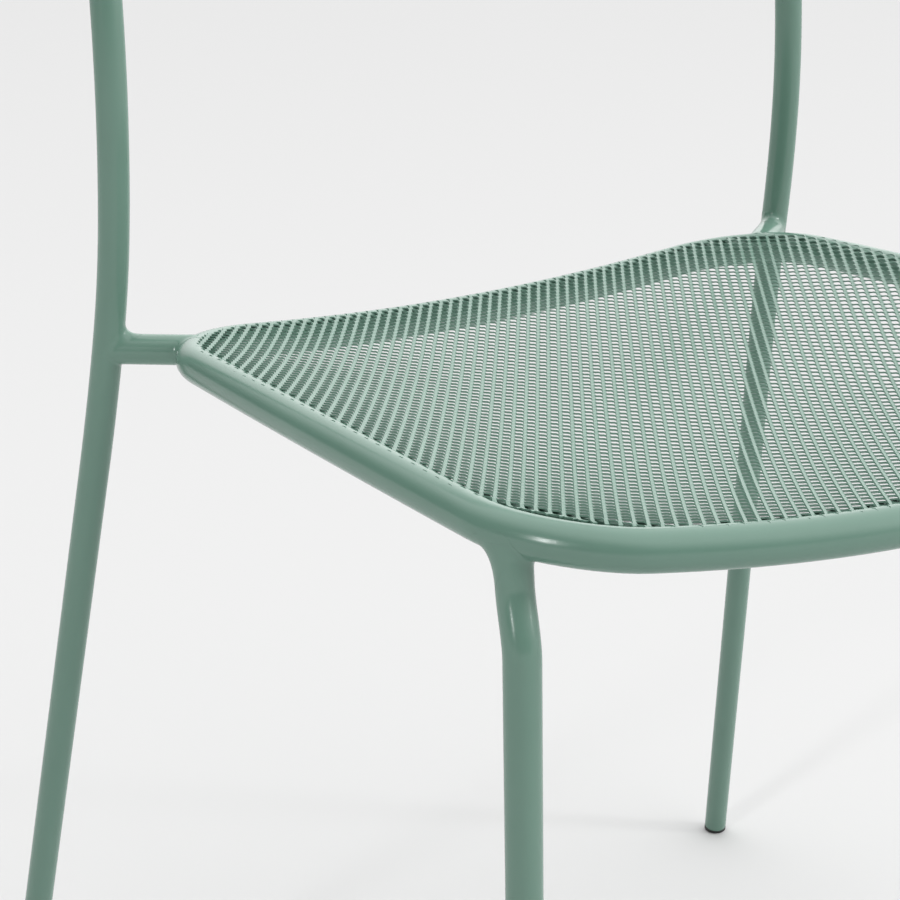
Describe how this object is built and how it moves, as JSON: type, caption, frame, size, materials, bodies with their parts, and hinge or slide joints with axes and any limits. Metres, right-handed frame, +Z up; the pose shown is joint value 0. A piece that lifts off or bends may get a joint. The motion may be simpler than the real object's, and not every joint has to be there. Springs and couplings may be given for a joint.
{
  "type": "stacking chair",
  "caption": "Armless stacking chair: bent steel tube frame with an expanded-metal seat pressed to a shallow dish, a matching back panel and plastic glides.",
  "frame": {"origin": "centre of the overall box on the floor", "axes": "+Z up, -Y toward the sitter's knees, +X toward the sitter's left"},
  "size_m": [0.5088, 0.4728, 0.828],
  "materials": {
    "coated_steel": "satin sage-green powder coat",
    "expanded_metal": "satin sage-green powder coat over expanded steel",
    "glides": "matte black moulded plastic"
  },
  "bodies": {
    "root": {"back_frame": "coated_steel", "back_lower_rail": "coated_steel", "back_mesh": "expanded_metal", "seat_ring": "coated_steel", "seat_mesh": "expanded_metal", "rear_stub_left": "coated_steel", "weld_upright_left": "coated_steel", "weld_stub_left": "coated_steel", "front_leg_left": "coated_steel", "weld_leg_left": "coated_steel", "weld_rail_left": "coated_steel", "glide_front_left": "glides", "glide_rear_left": "glides", "rear_stub_right": "coated_steel", "weld_upright_right": "coated_steel", "weld_stub_right": "coated_steel", "front_leg_right": "coated_steel", "weld_leg_right": "coated_steel", "weld_rail_right": "coated_steel", "glide_front_right": "glides", "glide_rear_right": "glides"}
  },
  "joints": []
}
